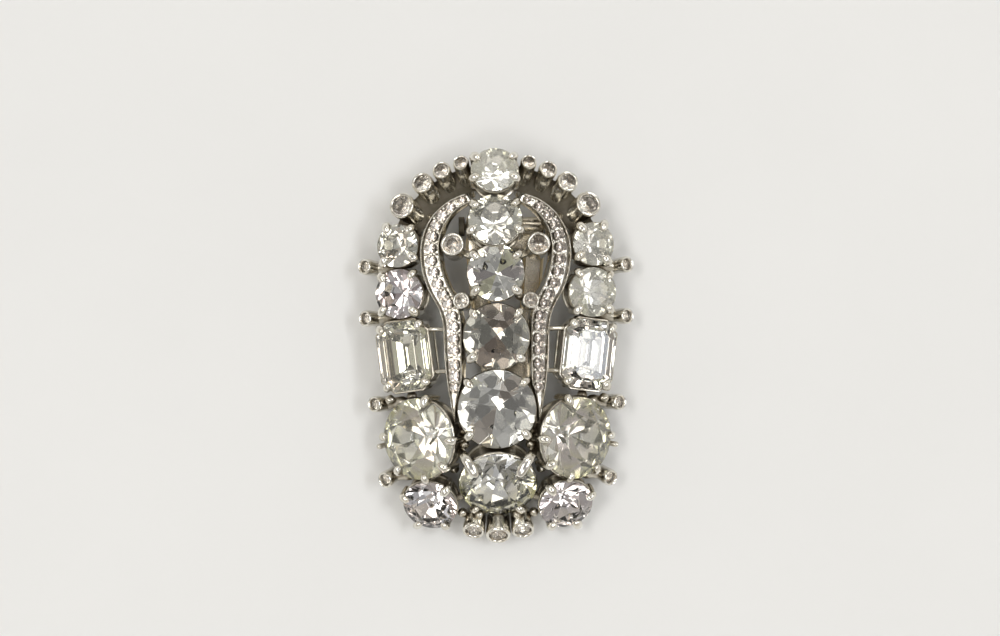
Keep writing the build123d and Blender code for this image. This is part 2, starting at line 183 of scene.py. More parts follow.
claspMetals = {
    "settingSilver": dict(bright=(0.76, 0.73, 0.65), dull=(0.58, 0.54, 0.45), tarnish=(0.17, 0.135, 0.085),
                          grime=0.06, hollowGrime=1.05, patchGrime=0.35, speckGrime=0.5, hollowReach=1.6,
                          patchSize=2.4, speckSize=0.35, polish=0.2, grimeRough=0.3,
                          lumpSize=0.9, fineShare=0.3, bump=0.55, bumpDepth=0.05),
    "railSilver": dict(bright=(0.86, 0.84, 0.78), dull=(0.72, 0.68, 0.59), tarnish=(0.24, 0.19, 0.12),
                       grime=-0.06, hollowGrime=0.95, patchGrime=0.3, speckGrime=0.35, hollowReach=0.9,
                       patchSize=1.6, speckSize=0.3, polish=0.16, grimeRough=0.28,
                       lumpSize=0.6, fineShare=0.25, bump=0.5, bumpDepth=0.035),
    # the plate metal's colours are kept near black-brown as painted shade under the arch, between the arch
    # cups and the bands
    "paintedShadePlate": dict(bright=(0.17, 0.15, 0.115), dull=(0.11, 0.097, 0.07), tarnish=(0.05, 0.04, 0.025),
                       grime=0.14, hollowGrime=0.8, patchGrime=0.6, speckGrime=0.5, hollowReach=2.5,
                       patchSize=3.0, speckSize=0.5, polish=0.36, grimeRough=0.25,
                       lumpSize=1.6, fineShare=0.4, bump=0.4, bumpDepth=0.05),
    "clipMetal": dict(bright=(0.86, 0.79, 0.66), dull=(0.72, 0.63, 0.48), tarnish=(0.34, 0.26, 0.15),
                      grime=0.0, hollowGrime=0.25, patchGrime=0.6, speckGrime=0.5, hollowReach=1.5,
                      patchSize=3.2, speckSize=0.4, polish=0.26, grimeRough=0.25,
                      lumpSize=2.2, fineShare=0.3, bump=0.35, bumpDepth=0.04),
}
# worn brass brightened well past the clip metal, with its tarnish taken off: a painted highlight on the
# clip's edges
claspMetals["wornBrass"] = dict(claspMetals["clipMetal"], bright=(0.96, 0.82, 0.56), dull=(0.86, 0.68, 0.42),
                                grime=-0.3, hollowGrime=0.1, polish=0.4)
metals = {name: agedMetal(name, look) for name, look in claspMetals.items()}


# glass and the foil behind it

def clearGlass(name, look):
    material, kit = newMaterial(name)
    place = kit.node("ShaderNodeTexCoord")["Object"]
    wear = kit.noise(place, look["wearSize"], 5, 0.7)
    swell = kit.noise(place, look["swellSize"], 1, 0.4)
    normal = kit.bump(look["swell"], look["swellDepth"], swell)
    roughness = wear.rise(*look["wearRange"]) * look["wear"] + look["polish"]
    values = {"Base Color": (*look["colour"], 1), "Roughness": roughness, "IOR": look["ior"],
              "Transmission Weight": 1.0, "Normal": normal}
    glass = kit.node("ShaderNodeBsdfPrincipled", None, values)["BSDF"]
    values = {"Base Color": (*look["dust"], 1), "Roughness": look["dustRough"]}
    haze = kit.node("ShaderNodeBsdfPrincipled", None, values)["BSDF"]
    share = wear.rise(*look["hazeRange"]) * look["haze"] + look["veil"]
    surface = kit.node("ShaderNodeMixShader", None, {0: share, 1: glass, 2: haze})["Shader"]
    kit.node("ShaderNodeOutputMaterial", None, {"Surface": surface})
    return material


foilLook = dict(blotchSize=0.7, spotRange=(0.56, 0.72), dullRange=(0.5, 0.8), dull=0.06)


def mirrorFoil(name, ownLook):
    look = {**foilLook, **ownLook}
    material, kit = newMaterial(name)
    facet = kit.node("ShaderNodeAttribute", {"attribute_name": "facetShade"})["Fac"]
    depth = kit.node("ShaderNodeAttribute", {"attribute_name": "girdleDepth"})["Fac"]
    place = kit.node("ShaderNodeTexCoord")["Object"]
    tint = kit.node("ShaderNodeValToRGB", {"stops": look["tints"]}, {"Fac": facet})["Color"]
    rim = 1 - depth.rise(0.0, look["rimDepth"])               # towards the girdle
    blotch = kit.noise(place, look["blotchSize"], 4, 0.6)
    colour = kit.mix(rim * look["rimShare"], tint, look["rim"])
    colour = kit.mix(blotch.rise(*look["spotRange"]) * look["spots"], colour, look["spot"])
    roughness = look["polish"] + blotch.rise(*look["dullRange"]) * look["dull"]
    kit.close({"Base Color": colour, "Metallic": 1.0, "Roughness": roughness})
    return material


clearLook = dict(colour=(0.985, 0.99, 0.985), ior=1.58, polish=0.0, wear=0.05, wearSize=0.5,
                 wearRange=(0.52, 0.85), swellSize=1.6, swell=0.06, swellDepth=0.05, haze=0.05,
                 hazeRange=(0.5, 0.9), veil=0.0, dust=(0.75, 0.73, 0.68), dustRough=0.7)
glassLooks = {
    "clear": clearLook,
    "misty": dict(clearLook, colour=(0.98, 0.985, 0.955), haze=0.22, veil=0.1, dust=(0.83, 0.82, 0.72)),
    "milky": dict(clearLook, colour=(0.98, 0.985, 0.965), haze=0.4, veil=0.24, dust=(0.82, 0.81, 0.72)),
    "small": dict(clearLook, colour=(0.97, 0.94, 0.91), haze=0.35, veil=0.05, wearSize=0.35,
                  dust=(0.52, 0.47, 0.42)),
}
paleTints = [(0.0, (0.97, 0.965, 0.93)), (0.36, (0.94, 0.935, 0.90)), (0.48, (0.78, 0.73, 0.72)),
             (0.56, (0.86, 0.76, 0.66)), (0.63, (0.5, 0.49, 0.48)), (0.71, (0.68, 0.67, 0.64)),
             (0.82, (0.88, 0.87, 0.72)), (0.93, (0.98, 0.975, 0.95))]
foils = {                                             # tints are ramp stops over the facets' shades
    "clear": dict(tints=paleTints, rim=(0.82, 0.81, 0.70), rimShare=0.3, rimDepth=1.0,
                  spots=0.2, spot=(0.55, 0.5, 0.42), polish=0.01),
    "yellowed": dict(tints=paleTints, rim=(0.93, 0.91, 0.64), rimShare=0.85, rimDepth=3.4,
                     spots=0.15, spot=(0.7, 0.64, 0.45), polish=0.07),
    "pale": dict(tints=paleTints, rim=(0.91, 0.90, 0.79), rimShare=0.5, rimDepth=2.2,
                 spots=0.15, spot=(0.7, 0.65, 0.5), polish=0.05),
    "grey": dict(tints=[(0.0, (0.66, 0.65, 0.60)), (0.3, (0.54, 0.53, 0.49)), (0.5, (0.86, 0.85, 0.80)),
                        (0.62, (0.48, 0.47, 0.43)), (0.76, (0.78, 0.64, 0.55)), (0.84, (0.60, 0.59, 0.55)),
                        (0.93, (0.92, 0.91, 0.86))],
                 rim=(0.78, 0.78, 0.70), rimShare=0.4, rimDepth=0.8,
                 spots=0.25, spot=(0.42, 0.40, 0.34), polish=0.02),
    "rosy": dict(tints=[(0.0, (0.96, 0.95, 0.94)), (0.3, (0.92, 0.87, 0.88)), (0.42, (0.97, 0.96, 0.95)),
                        (0.58, (0.66, 0.58, 0.57)), (0.7, (0.95, 0.93, 0.90)), (0.84, (0.93, 0.76, 0.64)),
                        (0.9, (0.93, 0.93, 0.95))],
                 rim=(0.86, 0.84, 0.81), rimShare=0.3, rimDepth=1.0,
                 spots=0.2, spot=(0.6, 0.5, 0.46), polish=0.03),
    "sparkling": dict(tints=[(0.0, (0.80, 0.76, 0.72)), (0.3, (0.62, 0.58, 0.54)), (0.55, (0.92, 0.89, 0.86)),
                             (0.78, (0.5, 0.46, 0.42)), (0.9, (0.94, 0.92, 0.9))],
                      rim=(0.62, 0.59, 0.54), rimShare=0.5, rimDepth=0.3,
                      spots=0.3, spot=(0.4, 0.36, 0.3), polish=0.1),
    "warm": dict(tints=[(0.0, (0.95, 0.94, 0.90)), (0.45, (0.86, 0.84, 0.79)), (0.7, (0.97, 0.96, 0.94)),
                        (0.9, (0.66, 0.60, 0.52))],
                 rim=(0.80, 0.78, 0.68), rimShare=0.3, rimDepth=0.4,
                 spots=0.2, spot=(0.5, 0.44, 0.36), polish=0.2),
}
glasses = {name: clearGlass(name + "Glass", look) for name, look in glassLooks.items()}
foilMaterials = {name: mirrorFoil(name + "Foil", look) for name, look in foils.items()}
print("materials made")


# where everything sits, in mm: the same places as in the solids

def tableOf(columns, rows):
    return [dict(zip(columns.split(), row)) for row in rows]


stones = tableOf("name wide x y z lean toward depth foil claws", [
    ("column_stone_1", 7.3, 0, 27.35, 9.0, 22, 90, 4.2, "pale", (35, 145, 205, 335)),
    ("column_stone_2", 8.4, 0, 19.5, 10.3, 20, 90, 4.2, "pale", (38, 142, 208, 332)),
    ("column_stone_3", 8.8, 0, 11.25, 10.6, 4, 90, 4.2, "clear", (40, 140, 222, 318)),
    ("column_stone_4", 10.3, 0, 1.3, 10.6, 0, 90, 4.6, "grey", (46, 134, 222, 318)),
    ("column_stone_5", 12.2, 0, -10.0, 10.3, 0, 90, 4.8, "clear", (43, 137, 222, 318)),
    ("column_stone_6", 12.1, 0, -21.95, 7.2, 37, 270, 4.6, "yellowed", (231, 309)),
    ("side_stone_1", 6.8, 15.4, 15.65, 6.6, 20, 12, 4.0, "clear", (60, 130, 215, 310)),
    ("side_stone_2", 7.8, 15.2, 8.1, 6.8, 19, 0, 4.3, "clear", (45, 130, 225, 315)),
    ("side_stone_4", 12.9, 12.4, -14.7, 7.1, 33, 352, 4.4, "yellowed", (0, 104, 178, 218, 256, 304)),
    ("side_stone_5", 8.6, 10.7, -25.25, 5.1, 33, 290, 3.4, "rosy", (18, 128, 235, 297)),
])
stepStone = dict(name="step_stone", x=14.55, y=-1.65, z=6.9, lean=18, toward=0, turn=-7.3,
                 width=8.4, length=11.0, corner=1.9, depth=4.4)
cups = tableOf("name radius grow x y z lean toward length", [
    ("arc_cup_stone_1", 2.05, 1, 14.6, 21.95, 6.2, 24, 38, 4.9),
    ("arc_cup_stone_2", 1.7, 1, 11.4, 25.45, 6.5, 24, 52, 5.0),
    ("arc_cup_stone_3", 1.45, 1, 8.35, 27.4, 6.8, 24, 64, 5.0),
    ("arc_cup_stone_4", 1.25, 1, 5.3, 28.5, 7.1, 24, 74, 5.0),
    ("inner_cup_stone_1", 1.85, 1, 6.7, 15.7, 9.6, 12, 70, 4.6),
    ("inner_cup_stone_2", 1.35, 1, 5.4, 6.9, 10.1, 6, 60, 4.6),
    ("edge_cup_stone_1", 1.12, 1.14, 20.6, 12.45, 3.9, 40, 8, 3.3),
    ("edge_cup_stone_2", 1.12, 1.14, 20.55, 4.3, 3.9, 40, 0, 3.3),
    ("edge_cup_stone_3", 1.12, 1.14, 19.25, -9.25, 4.0, 40, 0, 3.3),
    ("edge_cup_stone_4", 1.15, 1.14, 17.7, -21.2, 3.8, 40, 330, 3.3),
    ("base_cup_stone_1", 1.55, 1.16, 3.9, -29.3, 3.7, 50, 278, 3.6),
    ("base_cup_stone_2", 1.7, 1.16, 0, -30.0, 3.7, 50, 270, 3.6),
])
struts = [                                            # start, end and radius
    ((3.3, 18.9, 4.8), (3.3, 18.6, 7.6), 0.8), ((6.7, 15.0, 6.0), (3.9, 14.0, 7.0), 0.7),
    ((6.7, 15.0, 7.0), (9.4, 15.0, 7.7), 0.7), ((5.4, 6.8, 6.6), (3.6, 7.6, 7.4), 0.7),
    ((5.4, 6.8, 7.4), (7.0, 6.8, 7.9), 0.7), ((7.4, 2.5, 8.4), (10.6, 2.5, 7.2), 0.45),
    ((7.4, -4.0, 8.4), (9.85, -4.2, 7.2), 0.45), ((11.2, 15.4, 4.7), (10.6, 15.4, 7.2), 0.7),
    ((10.2, 20.2, 4.7), (9.2, 19.6, 7.4), 0.7), ((10.2, 9.2, 7.5), (11.3, 9.1, 6.3), 0.6),
    ((5.2, -13.6, 7.4), (6.6, -14.0, 7.2), 0.75), ((19.0, 12.3, 2.2), (16.2, 12.2, 3.6), 1.05),
    ((19.0, 4.3, 2.2), (16.4, 4.4, 3.6), 1.05), ((17.6, -9.2, 2.4), (15.0, -9.0, 4.0), 1.05),
    ((16.4, -20.6, 2.2), (14.0, -20.4, 3.2), 1.05), ((4.4, -23.4, 3.4), (7.1, -24.3, 3.0), 0.8),
    ((4.0, -28.0, 2.2), (3.7, -25.1, 3.1), 0.75), ((0, -28.0, 2.2), (0, -25.9, 2.2), 0.9),
    ((17.3, -15.7, 2.7), (18.7, -16.0, 2.9), 0.5),
]


def sidesOf(place):
    return (1, -1) if place["x"] else (1,)


def sideName(place, side):
    return place["name"] + ({1: "_right", -1: "_left"}[side] if place["x"] else "")


def standing(place, side=1):                          # from a piece's own axis to its place, in mm
    toward = math.radians(place["toward"] if side > 0 else 180 - place["toward"])
    lean = math.radians(place["lean"])
    up = Vector((math.sin(lean) * math.cos(toward), math.sin(lean) * math.sin(toward), math.cos(lean)))
    across = (Vector((1, 0, 0)) - up * up.x).normalized()
    turned = Matrix((across, up.cross(across), up)).transposed().to_4x4()
    turned.translation = Vector((place["x"] * side, place["y"], place["z"]))
    return turned @ Matrix.Rotation(math.radians(place.get("turn", 0) * side), 4, "Z")


# mesh tools

def linked(name, data):
    piece = bpy.data.objects.new(name, data)
    bpy.context.scene.collection.objects.link(piece)
    return piece


def finished(piece):
    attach(piece, "root")
    return piece


def roundEdges(piece, width, harden=True):            # a bevel on the sharp edges, width in mm
    rounding = piece.modifiers.new("rounding", "BEVEL")
    rounding.width = width * mm
    rounding.segments = 2
    rounding.limit_method = "ANGLE"
    rounding.angle_limit = math.radians(32)
    rounding.harden_normals = harden
    return rounding


class Shape:
    def __init__(self):
        self.points = []
        self.faces = []

    def add(self, points, faces, matrix=None):
        start = len(self.points)
        self.points += [matrix @ Vector(p) if matrix else Vector(p) for p in points]
        self.faces += [[start + i for i in face] for face in faces]

    def build(self, name, material, bevel=0.0, smoothAngle=40, subdivide=0):
        mesh = bpy.data.meshes.new(name)
        mesh.from_pydata([p * mm for p in self.points], [], self.faces)
        edit = bmesh.new()
        edit.from_mesh(mesh)
        bmesh.ops.recalc_face_normals(edit, faces=edit.faces)
        edit.to_mesh(mesh)
        edit.free()
        piece = linked(name, mesh)
        mesh.materials.append(material)
        mesh.shade_smooth()
        if bevel:
            roundEdges(piece, bevel)
        elif smoothAngle:
            mesh.set_sharp_from_angle(angle=math.radians(smoothAngle))
        if subdivide:
            piece.modifiers.new("smooth", "SUBSURF").levels = subdivide
            piece.modifiers["smooth"].render_levels = subdivide
        return finished(piece)


def turnedRing(profile, count):                       # (radius, height) rows: a loop, or ends on the axis
    points, faces, rings = [], [], []
    for radius, height in profile:
        if radius < 1e-6:
            rings.append([len(points)] * count)
            points.append((0, 0, height))
        else:
            rings.append(list(range(len(points), len(points) + count)))
            for k in range(count):
                angle = 2 * math.pi * k / count
                points.append((radius * math.cos(angle), radius * math.sin(angle), height))
    closed = profile[0][0] > 1e-6
    pairs = list(zip(rings, rings[1:])) + ([(rings[-1], rings[0])] if closed else [])
    for low, high in pairs:
        for k in range(count):
            nextOne = (k + 1) % count
            face = [low[k], low[nextOne], high[nextOne], high[k]]
            faces.append([i for n, i in enumerate(face) if i not in face[:n]])
    return points, faces


def ringFaces(rows, count, closed=False):             # quads between rows of points, each row a ring
    faces = []
    for row in range(rows if closed else rows - 1):
        low, high = row * count, (row + 1) % rows * count
        for k in range(count):
            nextOne = (k + 1) % count
            faces.append([low + k, low + nextOne, high + nextOne, high + k])
    return faces


def endFaces(rows, count):                            # a face on the first row and one on the last
    return [list(range(count))[::-1], [(rows - 1) * count + k for k in range(count)]]


def sweptRod(path, radii, count=10, flat=1.0, wide=None):        # rounded ends, flattened by the share given
    path = [Vector(p) for p in path]
    steps = [(b - a).normalized() for a, b in zip(path, path[1:])]
    ways = [steps[0]] + [(a + b).normalized() for a, b in zip(steps, steps[1:])] + [steps[-1]]
    rows = []
    for angle in (20, 50):
        back = math.radians(angle)
        rows.append((path[0] - ways[0] * radii[0] * math.cos(back), radii[0] * math.sin(back), ways[0]))
    rows += [(p, r, w) for p, r, w in zip(path, radii, ways)]
    for angle in (50, 20):
        back = math.radians(angle)
        rows.append((path[-1] + ways[-1] * radii[-1] * math.cos(back), radii[-1] * math.sin(back), ways[-1]))
    side = Vector(wide) if wide else ways[0].orthogonal().normalized()
    points = []
    for centre, radius, way in rows:
        side = (side - way * side.dot(way)).normalized()
        other = way.cross(side)
        for k in range(count):
            angle = 2 * math.pi * k / count
            points.append(centre + side * radius * math.cos(angle) + other * radius * flat * math.sin(angle))
    return points, ringFaces(len(rows), count) + endFaces(len(rows), count)


def ball(radius, angles, count):
    arc = [(radius * math.sin(math.radians(a)), -radius * math.cos(math.radians(a))) for a in angles]
    return turnedRing([(0, -radius)] + arc + [(0, radius)], count)


def lumpy(points, amount, size, seed):                # pushes points about, the same way each run
    shift = Vector((seed * 3.17, seed * 1.31, seed * 0.73))
    return [Vector(p) + noise.noise_vector(Vector(p) / size + shift) * amount for p in points]


def onSide(points, side):                             # as they are on the right, mirrored on the left
    return points if side > 0 else [Vector((-p[0], p[1], p[2])) for p in points]


# settings: tapered walls with a rolled lip and a foot ring

settingLook = dict(lipDrop=0.3, lipIn=0.24, lipOut=0.14, footTaper=0.8, footWall=0.35, footRing=0.2,
                   footHeight=0.5, count=72, lumps=0.05, lumpSize=2.5, boxBevel=0.07)


def roundSetting(stone):
    look = settingLook
    radius, bottom = stone["wide"] / 2, -stone["depth"]
    lip, edge = -look["lipDrop"], radius + look["lipOut"]
    wall = look["footTaper"] * radius + look["footWall"]
    ring, top = wall + look["footRing"], bottom + look["footHeight"]
    profile = [
        (radius - look["lipIn"], lip - 0.16), (radius - 0.08, lip), (edge - 0.12, lip + 0.02),
        (edge, lip - 0.1), (edge + 0.02, lip - 0.3), (edge - 0.1, lip - 0.42), (wall, top + 0.12),
        (ring, top), (ring, bottom), (wall - 2 * look["footWall"], bottom),
    ]
    return turnedRing(profile, look["count"])


walls = Shape()
for number, stone in enumerate(stones):
    points, faces = roundSetting(stone)
    for side in sidesOf(stone):
        worn = lumpy(points, settingLook["lumps"], settingLook["lumpSize"], number + side * 0.5)
        walls.add(worn, faces, standing(stone, side))


def cutCornered(width, length, corner):
    a, b, c = width / 2, length / 2, corner
    return [(a, b - c), (a - c, b), (c - a, b), (-a, b - c),
            (-a, c - b), (c - a, -b), (a - c, -b), (a, c - b)]


def boxSetting():                                     # the step-cut stone's wall, in bands from lip to foot
    s = stepStone
    bands = [(-0.3, -0.42), (-0.25, -0.3), (0.22, -0.3), (0.3, -0.4), (0.3, -0.8), (0.18, -0.9),
             (-0.14, 0.6 - s["depth"]), (0.02, 0.5 - s["depth"]), (0.0, -s["depth"]), (-0.85, -s["depth"])]
    points = []
    for grow, height in bands:
        corner = s["corner"] + 2 * grow * (1 - math.sqrt(0.5))
        rim = cutCornered(s["width"] + 2 * grow, s["length"] + 2 * grow, corner)
        points += [(x, y, height) for x, y in rim]
    return points, ringFaces(len(bands), 8, closed=True)


boxWalls = Shape()
points, faces = boxSetting()
for side in (1, -1):
    boxWalls.add(points, faces, standing(stepStone, side))
silver, rail = metals["settingSilver"], metals["railSilver"]
settingWalls = walls.build("setting_walls", silver, smoothAngle=50)
boxSettingWalls = boxWalls.build("box_setting_walls", silver, bevel=settingLook["boxBevel"])
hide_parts("frame")
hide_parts("frame")
print("settings made")


# claws: bent rods with a rounded end over each stone

clawLook = dict(foot=0.45, shank=0.55, knee=0.8, tip=0.74, reach=0.36, boxReach=0.2, flat=0.92,
                lumps=0.17, lumpSize=0.7, wobble=0.14, sway=2.0)
longClaws = {("side_stone_4", 104): 0.5, ("side_stone_4", 178): 0.5}
straps = [                                            # over column_stone_6, and bent by side_stone_4
    dict(path=[(5.9, -16.4, 8.0), (5.5, -16.9, 9.5), (5.0, -17.6, 10.4), (4.5, -18.4, 10.7),
               (4.0, -19.2, 10.75), (3.6, -19.9, 10.6)],
         radii=[0.7, 0.78, 0.82, 0.84, 0.84, 0.8], flat=0.55, wide=(0.86, -0.5, 0)),
    dict(path=[(11.6, -10.5, 8.35), (11.0, -9.6, 8.75), (9.9, -8.7, 8.3), (8.6, -10.3, 7.9),
               (7.4, -12.2, 7.5), (6.6, -13.5, 7.0)],
         radii=[0.5, 0.6, 0.5, 0.4, 0.42, 0.6], flat=0.9, wide=None),
]
strapLook = dict(lumps=0.08, lumpSize=0.9)


def clawRod(radius, depth, angle, reach, seed):
    look = clawLook
    dice = random.Random(seed)
    grow = 1 + dice.uniform(-look["wobble"], look["wobble"])
    turn = math.radians(angle + dice.uniform(-look["sway"], look["sway"]))
    out = Vector((math.cos(turn), math.sin(turn), 0))
    rows = [                                          # how far out, how high and how thick
        (0.1, -0.72 * depth, look["foot"]), (0.24, -0.4 * depth, look["shank"]),
        (0.3, -0.35, look["shank"]), (0.3, 0.12, look["knee"] * 0.95), (0.12, 0.42, look["knee"]),
        (-reach, 0.52 + 0.25 * reach, look["tip"]),
    ]
    path = [out * (radius + away) + Vector((0, 0, height)) for away, height, thick in rows]
    radii = [thick * grow for away, height, thick in rows]
    points, faces = sweptRod(path, radii, flat=look["flat"])
    return lumpy(points, look["lumps"], look["lumpSize"], seed), faces


claws = Shape()
seed = 1
for stone in stones:
    for side in sidesOf(stone):
        for angle in stone["claws"]:
            reach = longClaws.get((stone["name"], angle), clawLook["reach"])
            turned = angle if side > 0 else 180 - angle
            points, faces = clawRod(stone["wide"] / 2, stone["depth"], turned, reach, seed)
            claws.add(points, faces, standing(stone, side))
            seed += 1
cornerX = stepStone["width"] / 2 - stepStone["corner"] / 2
cornerY = stepStone["length"] / 2 - stepStone["corner"] / 2
for side in (1, -1):
    for sx, sy in ((1, 1), (-1, 1), (-1, -1), (1, -1)):
        angle = math.degrees(math.atan2(sy, sx))
        points, faces = clawRod(0, stepStone["depth"], angle, clawLook["boxReach"], seed)
        corner = Vector((sx * cornerX, sy * cornerY, 0))
        claws.add([Vector(p) + corner for p in points], faces, standing(stepStone, side))
        seed += 1
for strap in straps:
    for side in (1, -1):
        points, faces = sweptRod(strap["path"], strap["radii"], flat=strap["flat"], wide=strap["wide"])
        claws.add(onSide(lumpy(points, strapLook["lumps"], strapLook["lumpSize"], seed), side), faces)
        seed += 1
clawRods = claws.build("claws", rail, smoothAngle=0, subdivide=1)
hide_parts("frame")
print("claws made:", seed - 1)


# tubes with a rounded mouth

cupLook = dict(lipShare=0.22, lipIn=0.08, lipHigh=0.46, waist=0.95, back=0.9, seatIn=0.29, count=40,
               lumps=0.05, lumpSize=1.3, bend=1.1, bendFrom=-0.75, bendMost=2.4, pitAbove=-3)


def tubeCup(cup):
    look, r, end = cupLook, cup["radius"] * cup["grow"], -cup["length"]
    lip, top = r * (1 - look["lipShare"]) - look["lipIn"], look["lipHigh"]
    back, waist, seat = look["back"] * r, look["waist"] * r, cup["radius"] - look["seatIn"]
    profile = [
        (0, end), (back - 0.15, end), (back, end + 0.15), (waist, -1.9), (waist, -1.25), (r, -0.8),
        (r + 0.01, 0.1), (r - 0.05, top - 0.14), (r - 0.16, top - 0.02), (0.5 * (r + lip), top),
        (lip + 0.07, top - 0.05), (lip, top - 0.16), (seat, 0.05), (seat, -0.12),
        (0, -0.12 - 0.9 * seat),
    ]
    return turnedRing(profile, look["count"])


def bentInward(points, cup):                          # the arch's tubes run in towards the plate
    look = cupLook
    out = Vector((math.cos(math.radians(cup["toward"])), math.sin(math.radians(cup["toward"])), 0))
    inward = standing(cup).to_3x3().inverted() @ -out
    bent = []
    for p in points:
        isPit = p.xy.length < 0.01 and p.z > look["pitAbove"]         # under the stone, and stays there
        low = 0 if isPit else min(max(look["bendFrom"] - p.z, 0), look["bendMost"])
        bent.append(p + inward * look["bend"] * low)
    return bent


tubes = Shape()
for number, cup in enumerate(cups):
    points, faces = tubeCup(cup)
    points = [Vector(p) for p in points]
    if cup["name"].startswith("arc"):
        points = bentInward(points, cup)
    for side in sidesOf(cup):
        worn = lumpy(onSide(points, side), cupLook["lumps"], cupLook["lumpSize"], number * 2 + side)
        tubes.add(worn, faces, standing(cup, side))
tubeCups = tubes.build("tube_cups", rail, smoothAngle=60)
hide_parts("frame")
print("tubes made")


# the two pave bands

bandPlace = dict(x=6, y=5, z=10.2, lean=13, toward=0)
bandLook = dict(height=2.8, rail=0.27, railDrop=0.95, railRise=0.04, lumps=0.045, lumpSize=1.2, seeds=(7, 19))


def arcPoints(start, tangent, end, count):            # an arc that leaves start along the tangent
    start, tangent, end = Vector(start), Vector(tangent), Vector(end)
    chord = end - start
    normal = Vector((-tangent.y, tangent.x))
    bend = chord.dot(chord) / (2 * chord.dot(normal))
    centre = start + normal * bend
    first = math.atan2(start.y - centre.y, start.x - centre.x)
    last = math.atan2(end.y - centre.y, end.x - centre.x)
    sweep = (last - first) % (2 * math.pi) if bend > 0 else -((first - last) % (2 * math.pi))
    angles = [first + sweep * k / count for k in range(count + 1)]
    return [centre + abs(bend) * Vector((math.cos(a), math.sin(a))) for a in angles]


def evenly(points, count):                            # the same line, with count + 1 evenly spaced points
    lengths = [0.0]
    for a, b in zip(points, points[1:]):
        lengths.append(lengths[-1] + (b - a).length)
    spaced, k = [], 0
    for step in range(count + 1):
        target = lengths[-1] * step / count
        while k < len(points) - 2 and lengths[k + 1] < target:
            k += 1
        share = (target - lengths[k]) / max(lengths[k + 1] - lengths[k], 1e-9)
        spaced.append(points[k].lerp(points[k + 1], min(share, 1)))
    return spaced


def bandEdge(start, widest, bend, straight, tail):
    upper = arcPoints(widest, (0, 1), start, 24)[::-1]
    middle = arcPoints(widest, (0, -1), bend, 20)
    lower = arcPoints(straight, (0, 1), bend, 14)[::-1]
    return upper + middle[1:] + lower[1:] + evenly(tail, 40)[1:]


outerEdge = bandEdge((4.65, 23.5), (12.0, 14.3), (9.75, 6.9), (8.35, 1.7),
                     arcPoints((8.35, 1.7), (0, -1), (6.65, -12.3), 40))
innerTail = [(5.4, 2.4), (5.45, -5.4), (5.65, -6.3), (5.95, -7.2), (6.2, -8.2), (6.5, -10.2), (6.65, -12.3)]
innerEdge = bandEdge((3.9, 22.2), (8.9, 15.2), (6.9, 8.2), (5.4, 2.4), [Vector(p) for p in innerTail])


def bandBody():                                       # a rail along each edge and a sunk floor between
    look = bandLook
    points = []
    for outer, inner in zip(outerEdge, innerEdge):
        wide = max((outer - inner).length, 0.06)
        way = (inner - outer) / max((outer - inner).length, 1e-6)
        rail = min(look["rail"], wide * 0.42)
        drop = min(look["railDrop"], wide * 0.5)
        half = [(0.0, -look["height"]), (0.0, -0.14), (rail * 0.15, -0.03), (rail * 0.5, look["railRise"]),
                (rail * 0.85, -0.03), (rail, -0.14), (rail + 0.02, -drop)]
        row = half + [(wide - s, h) for s, h in half[::-1]]
        corner = outer - Vector((bandPlace["x"], bandPlace["y"]))
        points += [(corner.x + way.x * s, corner.y + way.y * s, h) for s, h in row]
    rows = len(outerEdge)
    return points, ringFaces(rows, len(row)) + endFaces(rows, len(row))


bands = Shape()
points, faces = bandBody()
for side, seed in zip((1, -1), bandLook["seeds"]):
    worn = lumpy(points, bandLook["lumps"], bandLook["lumpSize"], seed)
    bands.add(onSide([standing(bandPlace) @ p for p in worn], side), faces)
paveBands = bands.build("pave_bands", rail, smoothAngle=38)
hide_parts("frame")


# stones: the same cuts as the solids, with softened facet edges and foil behind

def weldedCopy(node):
    edit = bmesh.new()
    edit.from_mesh(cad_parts[node].data)
    bmesh.ops.remove_doubles(edit, verts=edit.verts, dist=2e-6)
    return edit


def wholeFacets(edit):                                # joins the triangles of each flat face
    bmesh.ops.dissolve_limit(edit, angle_limit=math.radians(0.8), verts=edit.verts, edges=edit.edges)


def looseParts(edit):                                 # the vertices of each separate stone in a mesh
    parts, seen = [], set()
    for vert in edit.verts:
        if vert in seen:
            continue
        part, queue = [], [vert]
        seen.add(vert)
        while queue:
            here = queue.pop()
            part.append(here)
            for edge in here.link_edges:
                there = edge.other_vert(here)
                if there not in seen:
                    seen.add(there)
                    queue.append(there)
        parts.append(part)
    return parts


paveLook = dict(fill=0.98, widest=0.9, smallest=0.5, shift=0.9)


def bandMiddle(spot):                                 # the floor's middle near a spot, and its half width
    pairs = [((o + i) / 2, (o - i).length / 2) for o, i in zip(outerEdge, innerEdge)]
    middle, half = min(pairs, key=lambda pair: (pair[0] - spot).length)
    return middle, half - bandLook["rail"]


def filledBand(edit, side):                           # moves pave stones to the middle and fills the floor
    turned = standing(bandPlace, side)
    away = turned.inverted()
    places = []
    for part in looseParts(edit):
        local = [away @ (vert.co / mm) for vert in part]
        centre = sum(local, Vector()) / len(local)
        spot = Vector((centre.x * side + bandPlace["x"], centre.y + bandPlace["y"]))
        middle, half = bandMiddle(spot)
        radius = max((p.xy - centre.xy).length for p in local)
        grow = max(min(half * paveLook["fill"], paveLook["widest"]) / radius, paveLook["smallest"])
        shift = Vector(((middle.x - spot.x) * side, middle.y - spot.y, 0)) * paveLook["shift"]
        for vert, p in zip(part, local):
            vert.co = turned @ (centre + (p - centre) * grow + shift) * mm
        places.append(((centre + shift).xy, radius * grow))
    return sorted(places, key=lambda place: -place[0].y)


